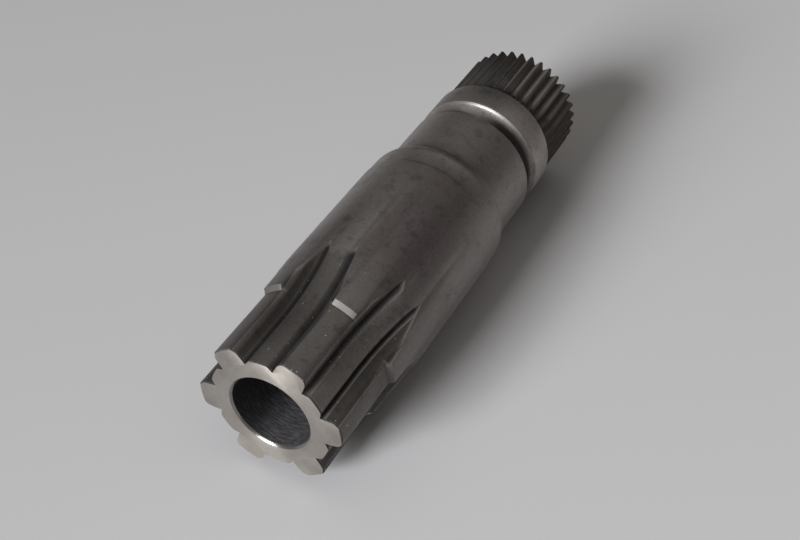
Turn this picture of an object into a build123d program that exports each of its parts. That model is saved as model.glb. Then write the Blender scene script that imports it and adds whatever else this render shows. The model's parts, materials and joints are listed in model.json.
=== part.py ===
"""Splined drive shaft: one piece of turned and milled steel.

The shaft stands on its serrated end. Z is its axis, z = 0 is the serrated end face, and the
bored end with the six wide keys is up. All sizes are in millimetres and degrees.
"""

import os
from math import asin, cos, degrees, radians, sin, sqrt, tan

from build123d import *

# Stretches of the shaft along its axis, from the serrated end up.
serration_length = 11.1
serration_relief_width = 0.85
collar_length = 5.15
groove_width = 3.1
neck_length = 10.45
body_length = 36.05
key_seat_length = 12.9

# Turned diameters.
body_diameter = 23.4
serration_tip_diameter = 19.9
serration_root_diameter = 17.3

# How far the other turned stretches lie below the one that they step down from. The collar is
# as thick as the neck, so what slides over the one slides over the other.
key_step_height = 0.7
shoulder_band_depth = 0.15
shoulder_height = 1.15
groove_depth = 1.1

# Turned edges.
serration_end_chamfer = 0.15
collar_edge_chamfer = 0.2
groove_slope_width = 1.9
neck_edge_chamfer = 0.08
shoulder_foot_fillet = 0.5
shoulder_length = 2.4
shoulder_band_length = 3.15
key_step_slope = 0.5
key_end_chamfer = 0.12

# Blind bore in the keyed end, drilled and then opened to size.
bore_diameter = 12.0
bore_depth = 30.0
bore_mouth_chamfer = 0.3
drill_point_angle = 118.0

# Wide keys, left standing between gaps cut by a form cutter.
key_count = 6
key_root_width = 4.6
key_shoulder_width = 4.34
key_top_width = 3.24
key_shoulder_diameter = 20.0
key_ledge_diameter = 21.6
undercut_diameter = 17.0
land_diameter = 18.2
land_width = 2.7
gap_straight_length = 8.5
cutter_radius = 34.0

# Fine serration, cut as triangular valleys. It is clocked by the middle of a tooth, from +X.
serration_count = 34
valley_angle = 60.0
valley_floor_width = 0.1
serration_clocking = 6.4

# How far a cutting tool runs past the metal that it cuts.
overrun = 1.0

# Heights where one stretch ends and the next begins.
relief_bottom = serration_length
collar_bottom = relief_bottom + serration_relief_width
groove_bottom = collar_bottom + collar_length
neck_bottom = groove_bottom + groove_width
body_bottom = neck_bottom + neck_length
key_step = body_bottom + body_length
shaft_length = key_step + key_seat_length

# Radii used by more than one feature.
serration_tip = serration_tip_diameter / 2
serration_root = serration_root_diameter / 2
body = body_diameter / 2
key_tip = body - key_step_height
band = body - shoulder_band_depth
neck = band - shoulder_height
bore = bore_diameter / 2


def gap_side(width, diameter):
    """Point on the side of a gap whose middle is +Y, beside the key at its clockwise side.

    The point lies on the given diameter, where the key is as wide as the given width.
    """
    angle = radians(180 / key_count) - asin(width / diameter)
    return Vector(sin(angle), cos(angle)) * (diameter / 2)


def land_edge():
    """Corner of the convex land that is left in the middle of a gap."""
    return Vector(land_width / 2, sqrt(land_diameter**2 - land_width**2) / 2)


# The turned blank: half of its section, revolved about the axis.
with BuildPart() as blank:
    with BuildSketch(Plane.XZ):
        with BuildLine():
            groove = neck - groove_depth
            slope_top = groove_bottom + groove_slope_width
            shoulder_top = body_bottom + shoulder_length
            drill_point = bore / tan(radians(drill_point_angle / 2))
            serrated_end = Polyline(
                (0, 0),
                (serration_tip - serration_end_chamfer, 0),
                (serration_tip, serration_end_chamfer),
                (serration_tip, relief_bottom),
                (serration_root, relief_bottom),
                (serration_root, collar_bottom),
                (neck - collar_edge_chamfer, collar_bottom),
                (neck, collar_bottom + collar_edge_chamfer),
                (neck, groove_bottom),
            )
            slope = TangentArc((groove, slope_top), serrated_end @ 1, tangent=(0, -1))
            neck_side = Polyline(
                slope @ 0,
                (groove, neck_bottom),
                (neck - neck_edge_chamfer, neck_bottom),
                (neck, neck_bottom + neck_edge_chamfer),
                (neck, body_bottom),
            )
            TangentArc((band, shoulder_top), neck_side @ 1, tangent=(0, -1))
            Polyline(
                (band, shoulder_top),
                (band, shoulder_top + shoulder_band_length),
                (body, shoulder_top + shoulder_band_length),
                (body, key_step),
                (key_tip, key_step + key_step_slope),
                (key_tip, shaft_length - key_end_chamfer),
                (key_tip - key_end_chamfer, shaft_length),
                (bore + bore_mouth_chamfer, shaft_length),
                (bore, shaft_length - bore_mouth_chamfer),
                (bore, shaft_length - bore_depth),
                (0, shaft_length - bore_depth - drill_point),
                (0, 0),
            )
        make_face()
    revolve(axis=Axis.Z)
    shoulder_foot = blank.edges().filter_by(GeomType.CIRCLE).filter_by_position(
        Axis.Z, body_bottom, body_bottom
    )
    fillet(shoulder_foot, radius=min(shoulder_foot_fillet, shoulder_height / 2))

# What the form cutter takes out of one gap. It runs level along the keyed end, and then its
# own roundness lifts it out of the body.
gap_start = shaft_length - gap_straight_length
clear_radius = body + overrun
with BuildPart() as gap:
    with BuildSketch(Plane.XY.offset(gap_start)) as gap_section:
        with BuildLine():
            undercut = gap_side(key_root_width, undercut_diameter)
            shoulder = gap_side(key_shoulder_width, key_shoulder_diameter)
            ledge = gap_side(key_top_width, key_ledge_diameter)
            wall_top = gap_side(key_top_width, 2 * clear_radius)
            Line(land_edge(), undercut)
            flank = Line(undercut, shoulder)
            TangentArc(shoulder, ledge, tangent=flank % 1)
            Line(ledge, wall_top)
            mirror(about=Plane.YZ)
            ThreePointArc(
                land_edge(), (0, land_diameter / 2), (-land_edge().X, land_edge().Y)
            )
            ThreePointArc(wall_top, (0, clear_radius), (-wall_top.X, wall_top.Y))
        make_face()
    extrude(amount=gap_straight_length + overrun)
    cutter_axis = Axis((0, undercut.Y + cutter_radius, gap_start), (1, 0, 0))
    lift_angle = degrees(2 * asin(sqrt((clear_radius - undercut.Y) / (2 * cutter_radius))))
    revolve(gap_section.sketch, axis=cutter_axis, revolution_arc=lift_angle)

# The valleys between the teeth of the serration, open at their top.
with BuildPart() as valleys:
    with BuildSketch():
        valley_top = serration_tip + overrun
        floor_side = valley_floor_width / 2
        top_side = floor_side + (valley_top - serration_root) * tan(radians(valley_angle / 2))
        first_valley = serration_clocking + 180 / serration_count
        with PolarLocations(0, serration_count, start_angle=first_valley):
            Polygon(
                (serration_root, floor_side),
                (serration_root, -floor_side),
                (valley_top, -top_side),
                (valley_top, top_side),
                align=None,
            )
    extrude(amount=relief_bottom)

with BuildPart() as splined_shaft:
    add(blank)
    with PolarLocations(0, key_count):
        add(gap, mode=Mode.SUBTRACT)
    add(valleys, mode=Mode.SUBTRACT)

splined_shaft.part.label = "splined_shaft"
os.makedirs("parts", exist_ok=True)
export_step(splined_shaft.part, "parts/splined_shaft.step")
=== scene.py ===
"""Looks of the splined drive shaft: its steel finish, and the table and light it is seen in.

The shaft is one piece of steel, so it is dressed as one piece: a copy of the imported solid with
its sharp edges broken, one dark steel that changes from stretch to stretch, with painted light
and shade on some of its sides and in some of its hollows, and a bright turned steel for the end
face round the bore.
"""

import json
import math

import bpy
from bpy.props import FloatProperty, FloatVectorProperty, PointerProperty
from mathutils import Matrix, Vector

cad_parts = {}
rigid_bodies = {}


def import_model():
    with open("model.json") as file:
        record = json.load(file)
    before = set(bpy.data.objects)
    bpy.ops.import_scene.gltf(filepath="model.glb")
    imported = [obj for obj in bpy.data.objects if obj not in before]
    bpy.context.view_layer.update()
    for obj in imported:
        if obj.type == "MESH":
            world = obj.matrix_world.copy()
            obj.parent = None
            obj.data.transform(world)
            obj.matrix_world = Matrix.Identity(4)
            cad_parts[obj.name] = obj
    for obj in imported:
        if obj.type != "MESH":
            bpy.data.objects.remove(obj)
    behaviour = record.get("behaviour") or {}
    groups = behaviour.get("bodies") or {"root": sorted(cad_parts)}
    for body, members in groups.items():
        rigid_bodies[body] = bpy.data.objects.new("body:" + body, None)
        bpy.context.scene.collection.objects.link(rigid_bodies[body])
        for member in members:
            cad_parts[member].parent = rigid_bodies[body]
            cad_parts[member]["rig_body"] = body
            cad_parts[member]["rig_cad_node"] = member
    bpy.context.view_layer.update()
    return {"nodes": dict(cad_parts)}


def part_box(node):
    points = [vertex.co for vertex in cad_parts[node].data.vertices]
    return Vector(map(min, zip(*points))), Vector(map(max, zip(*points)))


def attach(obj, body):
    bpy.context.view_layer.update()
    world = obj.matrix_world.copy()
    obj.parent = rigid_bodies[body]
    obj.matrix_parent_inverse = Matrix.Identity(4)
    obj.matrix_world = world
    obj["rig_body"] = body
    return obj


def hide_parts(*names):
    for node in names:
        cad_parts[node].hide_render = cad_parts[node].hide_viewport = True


bl_info = {
    "name": "Splined Shaft Dresser",
    "version": (1, 0, 0),
    "blender": (4, 5, 0),
    "location": "View3D > Sidebar > Shaft",
    "description": "Finishes the splined drive shaft and lays its table, lamps and camera",
    "category": "Object",
}

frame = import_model()
SHAFT_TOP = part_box("splined_shaft")[1]
MM = 0.001

# Making the copy: what counts as one point, as flat, as a sharp edge and as a smooth one.
SAME_POINT = 0.001 * MM
FLAT_WITHIN = math.radians(0.5)
SHARP_OVER = math.radians(30)
SMOOTH_UNDER = math.radians(35)
EDGE_SEGMENTS = 2
LEVEL_FACE = 0.99

# How soft the border of a zone of the finish is, to each side.
SOFT = 0.1 * MM
FIRM = 0.05 * MM
CRISP = 0.03 * MM

# Where a zone of the finish starts, and where it is full, measured from the size it goes by.
BORE_WALL = (0.12 * MM, 0.04 * MM)
BORE_END = (-12 * MM, -10 * MM)
BORE_LIP_HEIGHT = (-0.06 * MM, -0.02 * MM)
BORE_LIP_WIDTH = (0.2 * MM, 0.1 * MM)
STEP_HEIGHT = (-0.05 * MM, 0.03 * MM)
KEY_FOOT = (0.3 * MM, 0.6 * MM)
KEY_RIM = (-0.35 * MM, -0.2 * MM)
GAP_RUNOUT = (0.0, 1.0 * MM)
GAP_DEPTH = (0.05 * MM, 0.5 * MM)
GAP_CORNER = (-0.1 * MM, -0.45 * MM)
GAP_FLANK = (0.0, 0.08 * MM)
TOOTH_END = (0.1 * MM, -0.1 * MM)
TOOTH_TIP = (-0.3 * MM, 0.0)
SERRATED_END = (0.0, -0.5 * MM)
NICKED_END = (0.0, 4 * MM)

# The band of height that shows a gap's land, how far past the step's foot the painted shadow of
# the step reaches, and over how much of the body the stain fades, to each side of where it is
# half faded.
LAND_BAND = (-0.1 * MM, 0.15 * MM)
STEP_SHADOW_TOP = 0.8 * MM
STAIN_FADE = 10 * MM

# Painted shadow in the groove, where the neck's edge shades it: the share of its reach where it
# is thickest, where it starts on the slope, and how thick it is there.
GROOVE_SHADOW_FULL = 0.6
GROOVE_SHADOW_START = 0.3 * MM
GROOVE_SHADOW_THIN = 0.3

# Marks on the steel: how fine each is, its detail and its roughness.
TURNING = (9000.0, 3.0, 0.6)
MILLING = (5000.0, 3.0, 0.6)
CLOUD = (140.0, 4.0, 0.6)
GRAIN = (5000.0, 2.0, 0.7)
SPECK = (2200.0, 2.0, 0.5)
SMUDGE = (420.0, 4.0, 0.65)
BORE_STREAK = (4000.0, 3.0, 0.6)
FACE_CLOUD = (260.0, 3.0, 0.6)
FACE_RING = (12000.0, 2.0, 0.6)

# Milling marks are drawn out along the shaft. All tool marks stand this high, and show this much.
MILLING_STRETCH = (1.0, 1.0, 0.04)
MARK_HEIGHT = 0.01 * MM
STEEL_BUMP = 0.25
FACE_BUMP = 0.2

# How a mark shows: between these two strengths of the mark, what it does goes from this to that.
TINT_PATCH = (0.52, 0.75, 0.0, 0.6)
DARK_SPECK = (0.62, 0.75, 0.0, 0.6)
BRIGHT_NICK = (0.27, 0.23, 0.0, 1.0)
GRAIN_SHADE = (0.3, 0.7, 0.88, 1.12)
TURNING_SHADE = (0.3, 0.7, 0.93, 1.07)
SMUDGE_SHADE = (0.52, 0.72, 1.0, 0.7)
# Patches in the painted shade of the gaps' corners:
CORNER_SHADE_PATCH = (0.3, 0.6, 0.7, 1.0)
STREAK_PATCH = (0.35, 0.8, 0.0, 1.0)
DULL_PATCH = (0.3, 0.7, -0.05, 0.06)
FACE_PATCH = (0.35, 0.7, 0.0, 0.35)
FACE_RING_PATCH = (0.35, 0.65, 0.0, 0.15)

# Painted light and shade round the shaft, by how the light falls on each side: the body, the
# gaps' lands and flanks, the collar, the teeth and the bore are painted lighter or darker there.
# The first two are cosines of the way round from the middle of the side that each belongs to, and
# the steel's shade goes from this to that.
BODY_SHEEN = (0.5, 0.85, 1.04, 1.2)
LAND_SHEEN = (0.3, 0.9, 0.88, 1.75)
FLANK_SHEEN = (0.5, 0.8, 0.9, 1.6)
FLANK_SHADE = (0.88, 0.97, 1.0, 0.45)
COLLAR_SHADE = (-0.1, 0.3, 0.8, 0.53)
COLLAR_SHEEN = (0.4, 0.9, 1.0, 2.5)
TOOTH_SHEEN = (0.0, 0.9, 0.9, 2.0)
BORE_SHEEN = (0.5, 1.0, 0.8, 1.9)

# How metallic the filmed steel and the bare face are, how far round from the turning marks the
# face's shine is drawn out, and how dull the table is.
STEEL_METAL = 0.8
FACE_METAL = 0.9
QUARTER_TURN = 0.25
TABLE_ROUGHNESS = 0.6


def length(name, description, millimetres):
    """A length property, written in millimetres and kept in metres."""
    return FloatProperty(
        name=name, description=description, default=millimetres * MM, min=0.0, unit="LENGTH"
    )


def spot(name, description, millimetres):
    """A point, written in millimetres and kept in metres."""
    metres = [value * MM for value in millimetres]
    return FloatVectorProperty(
        name=name, description=description, default=metres, subtype="TRANSLATION"
    )


def angle(name, description, degrees):
    """An angle property, written in degrees."""
    return FloatProperty(
        name=name, description=description, default=math.radians(degrees), subtype="ANGLE"
    )


def power(name, description, watts):
    """A lamp's power."""
    return FloatProperty(name=name, description=description, default=watts, unit="POWER")


def share(name, description, default):
    """A property that runs from 0 to 1."""
    return FloatProperty(
        name=name, description=description, default=default, min=0.0, max=1.0, subtype="FACTOR"
    )


def colour(name, description, default):
    """A linear colour property."""
    return FloatVectorProperty(
        name=name, description=description, default=default, min=0.0, max=1.0, subtype="COLOR"
    )


class ShaftStretches(bpy.types.PropertyGroup):
    """Where the finish of the shaft changes: up its axis, out from it, or round it from +X."""

    collar_foot: length("Collar foot", "Lower edge of the collar", 11.95)
    groove_foot: length("Groove foot", "Where the collar starts to slope into the groove", 17.1)
    groove_top: length("Groove top", "Upper wall of the groove", 20.2)
    shoulder_foot: length("Shoulder foot", "Where the neck meets the shoulder", 30.65)
    gap_top: length("Gap top", "Where the gaps between the keys have run out", 57.0)
    gap_level: length("Gap level", "Where the gaps stop running level and start to lift", 71.1)
    cutter_radius: length("Cutter radius", "Radius that the gaps lift out of the body on", 34.0)
    land_radius: length("Land radius", "Radius over the land in the middle of a gap", 9.1)
    key_step: length("Key step", "Where the body steps down to the keys", 66.7)
    key_step_width: length("Key step width", "Height of the sloping step above the keys", 0.5)
    body_radius: length("Body radius", "Radius of the body", 11.7)
    key_tip_radius: length("Key tip radius", "Radius over the tips of the keys", 11.0)
    tooth_tip_radius: length("Tooth tip radius", "Radius over the tips of the teeth", 9.95)
    bore_radius: length("Bore radius", "Radius of the bore", 6.0)
    bore_lip: length("Bore lip", "Width of the chamfer round the bore's mouth", 0.3)
    edge_round: length("Edge round", "How far a sharp edge is broken", 0.06)
    # The groove's painted shadow: where round the shaft it is thickest, and how far round and how
    # far up the slope it reaches. The painted light and shade round the shaft are reckoned from
    # the same middle.
    painted_side_middle: angle("Dirt middle", "Where dirt sits thickest in the groove", -112.0)
    groove_shadow_reach: angle("Dirt reach", "How far round the dirt reaches from there", 72.0)
    groove_shadow_edge: length("Dirt edge", "How far up the groove's slope the dirt is thickest", 1.0)
    # Middle of the side of the body that painted sheen makes lighter.
    body_sheen_middle: angle("Worn middle", "Middle of the body's worn side", -150.0)
    stain_middle: angle("Stain middle", "Middle of the body's stain", -66.0)
    stain_reach: angle("Stain reach", "How far the stain reaches round, each way", 34.0)
    stain_foot: length("Stain foot", "Where the stain is half faded at its lower end", 44.0)
    stain_top: length("Stain top", "Where it is half faded at its upper end", 56.0)
    # Middle of the side of the bore that a painted reflection makes lighter.
    bore_sheen_middle: angle("Dry middle", "Middle of the bore's drier side", 158.0)


class ShaftFinish(bpy.types.PropertyGroup):
    """Colours and roughness of the steel. A shade is a share of the steel's own brightness."""

    steel: colour("Steel", "The dark, heat-treated steel", (0.2, 0.184, 0.175))
    tint: colour("Tint", "Faint brown tint in patches", (0.18, 0.146, 0.123))
    speck: colour("Speck", "Small dark specks all over the steel", (0.08, 0.0736, 0.07))
    stain: colour("Stain", "The body's stain", (0.152, 0.13, 0.134))
    step: colour("Key step", "The step down to the keys", (0.11, 0.105, 0.097))
    bore: colour("Bore", "The oiled wall of the bore", (0.045, 0.043, 0.046))
    streak: colour("Bore streak", "Pale turning marks in the bore", (0.135, 0.129, 0.138))
    # Painted shade: the colour of the painted shadow in the groove and at the step's foot, and of
    # the painted shade in the gaps' corners.
    painted_shade: colour("Dirt", "Oily dirt in the groove and in the gaps' corners", (0.02, 0.02, 0.022))
    nick: colour("Nick", "Bright specks where the keys are nicked", (0.6, 0.58, 0.55))
    lip: colour("Lip", "The broken edge round the bore", (0.17, 0.162, 0.155))
    face: colour("End face", "The turned face round the bore", (0.33, 0.306, 0.278))
    face_ring: colour("Face ring", "Turning marks on that face", (0.198, 0.1836, 0.1668))
    body_shade: share("Body shade", "Shade of the body at its keyed end", 0.84)
    neck_shine: share("Neck shine", "How much brighter than the steel the neck is", 0.25)
    key_shade: share("Key shade", "Shade of the keys", 0.68)
    gap_shade: share("Gap shade", "Shade of the milled sides of the gaps", 0.45)
    land_shade: share("Land shade", "Shade of the land in the middle of a gap", 0.6)
    tooth_shade: share("Tooth shade", "Shade of the serration", 0.5)
    tip_shade: share("Tip shade", "Shade of the teeth's tips, on top of that", 0.5)
    # How far the painted shade darkens the steel, and how dark the painted shadow at the step's
    # foot is.
    shade_cover: share("Dirt cover", "How much of the steel thick dirt hides", 0.85)
    step_shadow_strength: share("Step dirt", "How thick dirt is at the foot of the step", 0.2)
    steel_roughness: share("Steel roughness", "How dull the dark steel is", 0.44)
    step_roughness: share("Step roughness", "How dull the step above the keys is", 0.6)
    tooth_roughness: share("Tooth roughness", "How dull the serration and dirt are", 0.8)
    groove_roughness: share("Groove roughness", "How dull the groove is", 0.26)
    lip_roughness: share("Lip roughness", "How dull the edge round the bore is", 0.2)
    face_roughness: share("Face roughness", "How dull the end face is", 0.36)
    face_turning: share("Face turning", "How far turning marks draw out the face's shine", 0.7)


class TableAndLight(bpy.types.PropertyGroup):
    """The table that the shaft lies on, the room, the three lights and the camera.

    A light's way goes round the table: 0 is across it, and 90 is the way the bored end points.
    Its rise is how high it stands above the table.
    """

    table: colour("Table", "Colour of the table", (0.444, 0.439, 0.448))
    table_size: length("Table size", "Side of the square table", 6000.0)
    table_angle: angle("Table angle", "Where the table's face points, from +X", -37.1)
    # Painted light: the table is made paler towards one side of the shaft and darker towards the
    # other.
    painted_table_light: share("Table fade", "How much paler or darker it gets across it", 0.2)
    painted_table_light_reach: length("Table fade reach", "How far from the shaft it stops fading", 300.0)
    ceiling: colour("Ceiling", "Colour of the ceiling that faces the table", (0.44, 0.425, 0.4))
    ceiling_reach: angle("Ceiling reach", "How far the ceiling reaches from overhead", 41.0)
    ceiling_fade: angle("Ceiling fade", "Over how much more it fades into the room", 12.0)
    room: share("Room", "Brightness of the room all round", 0.045)
    room_fade: share("Room fade", "How much brighter it is past the bored end", 0.5)
    room_tone: colour("Room tone", "Colour of the light of the room", (1.0, 0.87, 0.76))
    window_way: angle("Window way", "Where the window is", 103.5)
    window_rise: angle("Window rise", "How high the window is", 23.0)
    window_width: length("Window width", "Width of the window's light", 855.0)
    window_height: length("Window height", "Height of the window's light", 815.0)
    window_distance: length("Window distance", "From the shaft to the window", 2200.0)
    window_power: power("Window power", "Power of the window's light", 107.0)
    window_tone: colour("Window tone", "Colour of the window's light", (0.97, 0.985, 1.0))
    wall_way: angle("Wall way", "Where the light from the wall comes from", -42.0)
    wall_rise: angle("Wall rise", "How high that light is", 16.0)
    wall_size: length("Wall size", "Side of that square of light", 1200.0)
    wall_distance: length("Wall distance", "From the shaft to that light", 1500.0)
    wall_power: power("Wall power", "Power of that light", 0.4)
    under_way: angle("Under way", "Where the light under the table comes from", 200.0)
    under_rise: angle("Under rise", "How high that light is", -68.0)
    under_size: length("Under size", "Side of that square of light", 700.0)
    under_distance: length("Under distance", "From the shaft to that light", 1800.0)
    under_power: power("Under power", "Power of that light", 7.5)
    camera_place: spot("Camera place", "Where the camera is", (61.92, -132.90, 171.72))
    camera_aim: spot("Camera aim", "What the camera looks at", (-6.84, 10.35, 35.61))
    lens: length("Lens", "Focal length of the camera", 58.84)
    sensor: length("Sensor", "Width of the camera's sensor", 36.0)


class Graph:
    """Adds nodes to one node tree. A socket, a number or a colour can feed an input."""

    def __init__(self, tree):
        self.tree = tree
        tree.nodes.clear()

    def add(self, kind, values=None, **settings):
        node = self.tree.nodes.new(kind)
        for name, value in settings.items():
            setattr(node, name, value)
        for key, value in (values or {}).items():
            self.feed(node.inputs[key], value)
        return node

    def feed(self, socket, value):
        if isinstance(value, bpy.types.NodeSocket):
            self.tree.links.new(value, socket)
        elif socket.type == "RGBA" and len(value) == 3:
            socket.default_value = (*value, 1.0)
        else:
            socket.default_value = value

    def math(self, operation, *values):
        node = self.add("ShaderNodeMath", operation=operation)
        for socket, value in zip(node.inputs, values):
            self.feed(socket, value)
        return node.outputs[0]

    def times(self, *values):
        """All the values multiplied together."""
        product = values[0]
        for value in values[1:]:
            product = self.math("MULTIPLY", product, value)
        return product

    def side(self, way, middle):
        """1 on the side of the shaft that has this middle, down to -1 on the other side."""
        return self.math("COSINE", self.math("SUBTRACT", way, middle))

    def scale(self, vector, factor):
        node = self.add("ShaderNodeVectorMath", {0: vector, "Scale": factor}, operation="SCALE")
        return node.outputs[0]

    def dot(self, first, second):
        node = self.add("ShaderNodeVectorMath", {0: first, 1: second}, operation="DOT_PRODUCT")
        return node.outputs["Value"]

    def ramp(self, value, low, high, to_low=0.0, to_high=1.0):
        """Goes smoothly from to_low to to_high as value goes from low to high."""
        node = self.add(
            "ShaderNodeMapRange",
            {0: value, 1: low, 2: high, 3: to_low, 4: to_high},
            interpolation_type="SMOOTHSTEP",
        )
        return node.outputs[0]

    def past(self, value, size, span):
        """Goes from 0 to 1 as value goes over a span that is measured from a size."""
        start, full = span
        return self.ramp(value, size + start, size + full)

    def between(self, value, low, high, soft):
        """1 between low and high, and 0 outside, over a soft edge."""
        rise = self.ramp(value, low - soft, low + soft)
        fall = self.ramp(value, high - soft, high + soft)
        return self.math("SUBTRACT", rise, fall)

    def mix(self, factor, first, second):
        """From the first colour to the second. A Mix node has its colours at 6 and 7."""
        values = {0: factor, 6: first, 7: second}
        return self.add("ShaderNodeMix", values, data_type="RGBA").outputs[2]

    def blend(self, factor, first, second):
        """From the first number to the second. A Mix node has its numbers at 2 and 3."""
        values = {0: factor, 2: first, 3: second}
        return self.add("ShaderNodeMix", values, data_type="FLOAT").outputs[0]

    def noise(self, vector, scale, detail, roughness):
        node = self.add(
            "ShaderNodeTexNoise",
            {"Vector": vector, "Scale": scale, "Detail": detail, "Roughness": roughness},
        )
        return node.outputs["Fac"]

    def bump(self, marks, strength):
        values = {"Height": marks, "Strength": strength, "Distance": MARK_HEIGHT}
        return self.add("ShaderNodeBump", values).outputs[0]


class Place:
    """Where a point of the shaft is, as sockets of one node tree."""

    def __init__(self, g):
        self.point = g.add("ShaderNodeTexCoord").outputs["Object"]
        x, y, self.z = g.add("ShaderNodeSeparateXYZ", {0: self.point}).outputs
        self.way = g.math("ARCTAN2", y, x)
        self.radius = g.math("SQRT", g.math("ADD", g.times(x, x), g.times(y, y)))
        # Little of the way round is counted, so that noise on this draws out into rings.
        turned = {0: g.times(self.way, MM), 1: self.z, 2: self.radius}
        self.turned = g.add("ShaderNodeCombineXYZ", turned).outputs[0]
        around = {0: g.times(y, -1.0), 1: x}
        self.around = g.add("ShaderNodeCombineXYZ", around).outputs[0]


class Zones:
    """Parts of the shaft that have a finish of their own, or painted light or shade, as
    sockets: 1 in it and 0 outside.

    A side goes from 1 at its middle to -1 across the shaft from it.
    """

    def __init__(self, g, place, s):
        z, radius, top = place.z, place.radius, SHAFT_TOP.z
        self.in_bore = g.times(
            g.past(radius, s.bore_radius, BORE_WALL), g.past(z, s.gap_top, BORE_END)
        )
        self.on_lip = g.times(
            g.past(z, top - s.bore_lip, BORE_LIP_HEIGHT),
            g.past(radius, s.bore_radius + s.bore_lip, BORE_LIP_WIDTH),
        )

        step_top = s.key_step + s.key_step_width
        self.on_step = g.times(
            g.between(z, s.key_step, step_top, CRISP),
            g.past(radius, s.key_tip_radius, STEP_HEIGHT),
        )
        # Painted shadow of the step on the keys, just past its foot.
        self.step_shadow = g.between(z, step_top, s.key_step + STEP_SHADOW_TOP, FIRM)
        self.on_keys = g.past(z, s.key_step, KEY_FOOT)
        self.key_rim = g.past(z, top, KEY_RIM)
        self.nicked = g.past(z, s.gap_top, NICKED_END)

        # A gap lifts out of the body on the cutter's round, so its floor is followed up it.
        outside = g.ramp(z, s.key_step, s.key_step + SOFT, s.body_radius, s.key_tip_radius)
        depth = g.math("SUBTRACT", outside, radius)
        self.in_gap = g.times(g.past(z, s.gap_top, GAP_RUNOUT), g.ramp(depth, *GAP_DEPTH))
        run = g.math("MAXIMUM", g.math("SUBTRACT", s.gap_level, z), 0.0)
        chord = g.math("SUBTRACT", s.cutter_radius**2, g.times(run, run))
        lift = g.math("SUBTRACT", s.cutter_radius, g.math("SQRT", chord))
        floor = g.math("SUBTRACT", radius, lift)
        # Painted shade in the gaps' corners, where the floor runs down below the land.
        self.gap_corner = g.times(g.past(floor, s.land_radius, GAP_CORNER), self.in_gap)
        land_low, land_high = LAND_BAND
        self.land = g.between(floor, s.land_radius + land_low, s.land_radius + land_high, FIRM)
        self.on_flank = g.past(floor, s.land_radius, GAP_FLANK)

        self.on_teeth = g.past(z, s.collar_foot, TOOTH_END)
        self.on_tips = g.times(self.on_teeth, g.past(radius, s.tooth_tip_radius, TOOTH_TIP))
        self.on_collar_end = g.past(z, s.groove_foot, SERRATED_END)
        self.near_neck = g.ramp(z, s.key_step, s.shoulder_foot)

        self.in_groove = g.between(z, s.groove_foot, s.groove_top, SOFT)
        # The side that the painted light and shade round the shaft are reckoned from, and the
        # groove's painted shadow, which is thickest on that side and towards the neck's edge.
        self.painted_side = g.side(place.way, s.painted_side_middle)
        shadow_start = s.groove_foot + GROOVE_SHADOW_START
        shadow_full = s.groove_foot + s.groove_shadow_edge
        self.groove_shadow = g.times(
            g.ramp(self.painted_side, math.cos(s.groove_shadow_reach), math.cos(s.groove_shadow_reach * GROOVE_SHADOW_FULL)),
            self.in_groove,
            g.ramp(z, shadow_start, shadow_full, GROOVE_SHADOW_THIN, 1.0),
        )
        self.stained = g.times(
            g.ramp(g.side(place.way, s.stain_middle), math.cos(s.stain_reach), 1.0),
            g.between(z, s.stain_foot, s.stain_top, STAIN_FADE),
        )
        # Painted sheen on one side of the body.
        self.body_sheen_side = g.side(place.way, s.body_sheen_middle)
        # Painted reflection on one side of the bore.
        self.bore_sheen_side = g.side(place.way, s.bore_sheen_middle)


class Marks:
    """What heat, tools and use have left on the steel, as sockets from 0 to 1."""

    def __init__(self, g, place):
        along = g.add("ShaderNodeMapping", {0: place.point, 3: MILLING_STRETCH}).outputs[0]
        self.turning = g.noise(place.turned, *TURNING)
        self.milling = g.noise(along, *MILLING)
        self.cloud = g.noise(place.point, *CLOUD)
        self.grain = g.noise(place.point, *GRAIN)
        self.speck = g.noise(place.point, *SPECK)
        self.smudge = g.noise(place.point, *SMUDGE)
        self.streak = g.noise(place.turned, *BORE_STREAK)


def steel_shade(g, zones, marks, finish):
    """How bright the dark steel is: each stretch's own shade, painted light and shade on its
    sides, and its marks.
    """
    side = zones.painted_side
    shade = g.ramp(zones.near_neck, 0.0, 1.0, finish.body_shade, 1.0 + finish.neck_shine)
    # Painted sheen makes one side of the body lighter.
    shade = g.times(shade, g.ramp(zones.body_sheen_side, *BODY_SHEEN))
    shade = g.blend(zones.on_keys, shade, finish.key_shade)

    # Painted sheen and painted shade on the gaps' lands and flanks, by which way round they face.
    flank_light = g.times(g.ramp(side, *FLANK_SHEEN), g.ramp(side, *FLANK_SHADE))
    gap_light = g.blend(zones.on_flank, g.ramp(side, *LAND_SHEEN), flank_light)
    gap_shade = g.times(g.blend(zones.land, finish.gap_shade, finish.land_shade), gap_light)
    shade = g.blend(zones.in_gap, shade, gap_shade)

    shade = g.blend(zones.on_teeth, shade, finish.tooth_shade)
    shade = g.times(shade, g.blend(zones.on_tips, 1.0, finish.tip_shade))
    # Painted shade over the middle of the collar, a painted highlight on one side of it, and
    # painted sheen on the teeth on that side.
    collar_light = g.times(g.ramp(side, *COLLAR_SHADE), g.ramp(side, *COLLAR_SHEEN))
    end_light = g.blend(zones.on_teeth, collar_light, g.ramp(side, *TOOTH_SHEEN))
    shade = g.times(shade, g.blend(zones.on_collar_end, 1.0, end_light))

    shade = g.blend(zones.key_rim, shade, finish.gap_shade)
    return g.times(
        shade,
        g.ramp(marks.grain, *GRAIN_SHADE),
        g.ramp(marks.turning, *TURNING_SHADE),
        g.ramp(marks.smudge, *SMUDGE_SHADE),
    )


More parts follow.
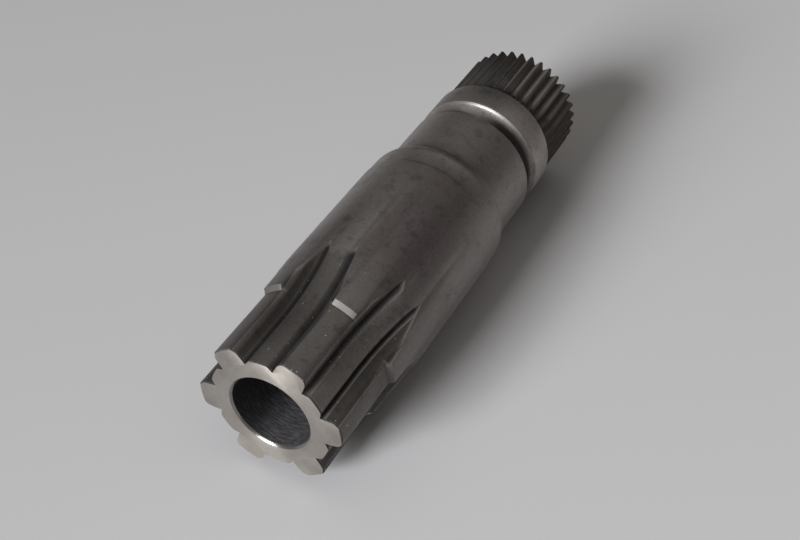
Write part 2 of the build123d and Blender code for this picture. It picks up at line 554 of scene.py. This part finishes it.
def steel_colour(g, zones, marks, finish):
    """The dark steel's colour, with its stain, painted shade and nicks, the step and the bore."""
    steel = g.mix(g.ramp(marks.cloud, *TINT_PATCH), finish.steel, finish.tint)
    steel = g.mix(zones.stained, steel, finish.stain)
    steel = g.mix(g.ramp(marks.speck, *DARK_SPECK), steel, finish.speck)
    steel = g.scale(steel, steel_shade(g, zones, marks, finish))

    # Painted shade in the gaps' corners, and painted shadow in the groove and at the step's foot.
    corner_shade = g.times(zones.gap_corner, g.ramp(marks.cloud, *CORNER_SHADE_PATCH))
    painted_shade = g.math("MAXIMUM", zones.groove_shadow, corner_shade)
    painted_shade = g.math("MAXIMUM", painted_shade, g.times(zones.step_shadow, finish.step_shadow_strength))
    steel = g.mix(g.times(painted_shade, finish.shade_cover), steel, finish.painted_shade)
    nicks = g.times(g.ramp(marks.speck, *BRIGHT_NICK), zones.nicked)
    steel = g.mix(nicks, steel, finish.nick)
    steel = g.mix(zones.on_step, steel, finish.step)

    bore = g.mix(g.ramp(marks.streak, *STREAK_PATCH), finish.bore, finish.streak)
    # Painted reflection: the bore is lighter on one side.
    bore = g.scale(bore, g.ramp(zones.bore_sheen_side, *BORE_SHEEN))
    steel = g.mix(zones.in_bore, steel, bore)
    return g.mix(zones.on_lip, steel, finish.lip)


def steel_dullness(g, zones, marks, finish):
    """The dark steel's roughness, which changes from zone to zone."""
    rough = g.math("ADD", finish.steel_roughness, g.ramp(marks.cloud, *DULL_PATCH))
    for zone, roughness in (
        (zones.in_groove, finish.groove_roughness),
        (zones.on_step, finish.step_roughness),
        (zones.on_teeth, finish.tooth_roughness),
        (zones.key_rim, finish.tooth_roughness),
        (zones.groove_shadow, finish.tooth_roughness),
        (zones.on_lip, finish.lip_roughness),
    ):
        rough = g.blend(zone, rough, roughness)
    return rough


def new_material(name):
    """A material with an empty graph."""
    material = bpy.data.materials.new(name)
    material.use_nodes = True
    return material, Graph(material.node_tree)


def steel_material(stretches, finish):
    """The shaft's dark steel, which changes from stretch to stretch."""
    material, g = new_material("shaft_steel")
    place = Place(g)
    zones = Zones(g, place, stretches)
    marks = Marks(g, place)
    tool_marks = g.blend(zones.in_gap, marks.turning, marks.milling)
    shader = g.add(
        "ShaderNodeBsdfPrincipled",
        {
            "Base Color": steel_colour(g, zones, marks, finish),
            "Metallic": STEEL_METAL,
            "Roughness": steel_dullness(g, zones, marks, finish),
            "Normal": g.bump(tool_marks, STEEL_BUMP),
        },
    )
    g.add("ShaderNodeOutputMaterial", {"Surface": shader.outputs[0]})
    return material


def face_material(finish):
    """The bright end face, whose turning marks draw its shine out from the bore."""
    material, g = new_material("turned_face")
    place = Place(g)
    cloud = g.noise(place.point, *FACE_CLOUD)
    rings = g.noise(place.turned, *FACE_RING)
    base = g.mix(g.ramp(cloud, *FACE_PATCH), finish.face, finish.tint)
    base = g.mix(g.ramp(rings, *FACE_RING_PATCH), base, finish.face_ring)
    shader = g.add(
        "ShaderNodeBsdfPrincipled",
        {
            "Base Color": base,
            "Metallic": FACE_METAL,
            "Roughness": finish.face_roughness,
            "Anisotropic": finish.face_turning,
            "Anisotropic Rotation": QUARTER_TURN,
            "Tangent": place.around,
            "Normal": g.bump(rings, FACE_BUMP),
        },
    )
    g.add("ShaderNodeOutputMaterial", {"Surface": shader.outputs[0]})
    return material


def table_axes(stage):
    """The way that the table's face points, across the table, and along the shaft."""
    face = Vector((math.cos(stage.table_angle), math.sin(stage.table_angle), 0.0))
    along = Vector((0.0, 0.0, 1.0))
    return face, face.cross(along), along


def facing(back, up):
    """The turn of a lamp or camera whose back is that way, kept level under that up."""
    right = up.cross(back).normalized()
    return Matrix((right, back.cross(right), back)).transposed().to_euler()


def hang_light(name, stage, width, height, tone):
    """A soft rectangular light that faces the middle of the shaft."""
    way, rise, distance, watts = (
        getattr(stage, name + end) for end in ("_way", "_rise", "_distance", "_power")
    )
    face, across, along = table_axes(stage)
    level = across * math.cos(way) + along * math.sin(way)
    back = level * math.cos(rise) + face * math.sin(rise)
    middle = Vector((0.0, 0.0, SHAFT_TOP.z / 2))
    bpy.ops.object.light_add(type="AREA", location=middle + back * distance)
    light = bpy.context.active_object
    light.name = name
    light.rotation_euler = facing(back, face)
    light.data.shape = "RECTANGLE"
    light.data.size = width
    light.data.size_y = height
    light.data.energy = watts
    light.data.color = tone
    return light


def shine_through(light, table):
    """Lets a light through the table, so that it reaches the side of the shaft that is there."""
    passed = bpy.data.collections.new("lets_light_through")
    passed.objects.link(table)
    passed.collection_objects[0].light_linking.link_state = "EXCLUDE"
    light.light_linking.blocker_collection = passed


def table_material(stage):
    """Pale laminate. It isn't there for what looks at it from underneath."""
    material, g = new_material("pale_table")
    behind = g.add("ShaderNodeNewGeometry").outputs["Backfacing"]
    point = g.add("ShaderNodeTexCoord").outputs["Object"]
    # Painted light: the table is paler towards one side of the shaft and darker towards the
    # other.
    across = g.dot(point, table_axes(stage)[1])
    reach = stage.painted_table_light_reach
    fade = g.ramp(across, -reach, reach, 1.0 - stage.painted_table_light, 1.0 + stage.painted_table_light)
    tone = g.scale(stage.table, fade)
    pale = g.add("ShaderNodeBsdfPrincipled", {"Base Color": tone, "Roughness": TABLE_ROUGHNESS})
    clear = g.add("ShaderNodeBsdfTransparent")
    mixed = g.add("ShaderNodeMixShader", {0: behind, 1: pale.outputs[0], 2: clear.outputs[0]})
    g.add("ShaderNodeOutputMaterial", {"Surface": mixed.outputs[0]})
    return material


def room_world(stage):
    """A dim room, brighter past the shaft's bored end, and a pale ceiling over the table."""
    world = bpy.data.worlds.new("pale_room")
    world.use_nodes = True
    bpy.context.scene.world = world
    g = Graph(world.node_tree)
    way = g.add("ShaderNodeTexCoord").outputs["Generated"]
    height = g.add("ShaderNodeSeparateXYZ", {0: way}).outputs[2]
    dim = (1.0 - stage.room_fade) * stage.room
    bright = (1.0 + stage.room_fade) * stage.room
    walls = g.scale(stage.room_tone, g.ramp(height, -1.0, 1.0, dim, bright))
    overhead = g.ramp(
        g.dot(way, table_axes(stage)[0]),
        math.cos(stage.ceiling_reach + stage.ceiling_fade),
        math.cos(stage.ceiling_reach),
    )
    tone = g.mix(overhead, walls, stage.ceiling)
    light = g.add("ShaderNodeBackground", {"Color": tone, "Strength": 1.0})
    g.add("ShaderNodeOutputWorld", {"Surface": light.outputs[0]})


class SHAFT_OT_dress(bpy.types.Operator):
    """Copy the solid, break its sharp edges, and give it its steel"""

    bl_idname = "shaft.dress"
    bl_label = "Dress Shaft"

    def execute(self, context):
        stretches = context.scene.shaft_stretches
        finish = context.scene.shaft_finish
        solid = frame["nodes"]["splined_shaft"]
        bpy.ops.object.select_all(action="DESELECT")
        solid.select_set(True)
        context.view_layer.objects.active = solid
        bpy.ops.object.duplicate()
        shaft = context.active_object
        shaft.name = "shaft_steel"
        # The copy isn't a node of the frame, so it loses the marks of one.
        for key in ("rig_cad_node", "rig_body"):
            if key in shaft:
                del shaft[key]

        bpy.ops.object.mode_set(mode="EDIT")
        bpy.ops.mesh.select_all(action="SELECT")
        bpy.ops.mesh.remove_doubles(threshold=SAME_POINT)
        bpy.ops.mesh.customdata_custom_splitnormals_clear()
        bpy.ops.mesh.normals_make_consistent(inside=False)
        bpy.ops.mesh.dissolve_limited(angle_limit=FLAT_WITHIN)
        bpy.ops.object.mode_set(mode="OBJECT")
        edges = shaft.modifiers.new("broken_edges", "BEVEL")
        edges.width = stretches.edge_round
        edges.segments = EDGE_SEGMENTS
        edges.angle_limit = SHARP_OVER
        edges.miter_outer = "MITER_ARC"
        bpy.ops.object.modifier_apply(modifier=edges.name)
        bpy.ops.object.shade_smooth_by_angle(angle=SMOOTH_UNDER)

        shaft.data.materials.clear()
        shaft.data.materials.append(steel_material(stretches, finish))
        shaft.data.materials.append(face_material(finish))
        for face in shaft.data.polygons:
            is_level = face.normal.z > LEVEL_FACE
            is_high = face.center.z > SHAFT_TOP.z - stretches.bore_lip
            face.material_index = int(is_high and is_level)
        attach(shaft, "root")
        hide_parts("splined_shaft")
        return {"FINISHED"}


class SHAFT_OT_stage(bpy.types.Operator):
    """Lay the table, hang the lights, light the room and place the camera"""

    bl_idname = "shaft.stage"
    bl_label = "Set Stage"

    def execute(self, context):
        stage = context.scene.shaft_stage
        face = table_axes(stage)[0]
        body_radius = SHAFT_TOP.x
        bpy.ops.object.select_all(action="DESELECT")
        bpy.ops.mesh.primitive_plane_add(
            size=stage.table_size,
            location=-face * body_radius,
            rotation=face.to_track_quat("Z", "X").to_euler(),
        )
        table = context.active_object
        table.name = "table"
        bpy.ops.object.transform_apply(location=True, rotation=True, scale=True)
        table.data.materials.append(table_material(stage))

        hang_light("window", stage, stage.window_width, stage.window_height, stage.window_tone)
        hang_light("wall", stage, stage.wall_size, stage.wall_size, stage.room_tone)
        under = hang_light("under", stage, stage.under_size, stage.under_size, stage.window_tone)
        shine_through(under, table)
        room_world(stage)

        eye = Vector(stage.camera_place)
        back = (eye - Vector(stage.camera_aim)).normalized()
        bpy.ops.object.camera_add(location=eye)
        camera = context.active_object
        camera.name = "camera"
        camera.rotation_euler = facing(back, face)
        camera.data.lens = stage.lens / MM
        camera.data.sensor_width = stage.sensor / MM
        camera.data.clip_start = MM
        context.scene.camera = camera
        context.scene.view_settings.view_transform = "Standard"
        return {"FINISHED"}


class SHAFT_PT_panel(bpy.types.Panel):
    """Lists the shaft's operators and values"""

    bl_label = "Splined Shaft"
    bl_space_type = "VIEW_3D"
    bl_region_type = "UI"
    bl_category = "Shaft"

    def draw(self, context):
        for operator, groups in (
            ("shaft.dress", ("shaft_stretches", "shaft_finish")),
            ("shaft.stage", ("shaft_stage",)),
        ):
            self.layout.operator(operator)
            for group in groups:
                values = getattr(context.scene, group)
                for key in values.__annotations__:
                    self.layout.prop(values, key)


CLASSES = (
    ShaftStretches,
    ShaftFinish,
    TableAndLight,
    SHAFT_OT_dress,
    SHAFT_OT_stage,
    SHAFT_PT_panel,
)


def register():
    for cls in CLASSES:
        bpy.utils.register_class(cls)
    bpy.types.Scene.shaft_stretches = PointerProperty(type=ShaftStretches)
    bpy.types.Scene.shaft_finish = PointerProperty(type=ShaftFinish)
    bpy.types.Scene.shaft_stage = PointerProperty(type=TableAndLight)


def unregister():
    del bpy.types.Scene.shaft_stage
    del bpy.types.Scene.shaft_finish
    del bpy.types.Scene.shaft_stretches
    for cls in reversed(CLASSES):
        bpy.utils.unregister_class(cls)


def main():
    register()
    bpy.ops.shaft.dress()
    bpy.ops.shaft.stage()


if __name__ == "__main__":
    main()
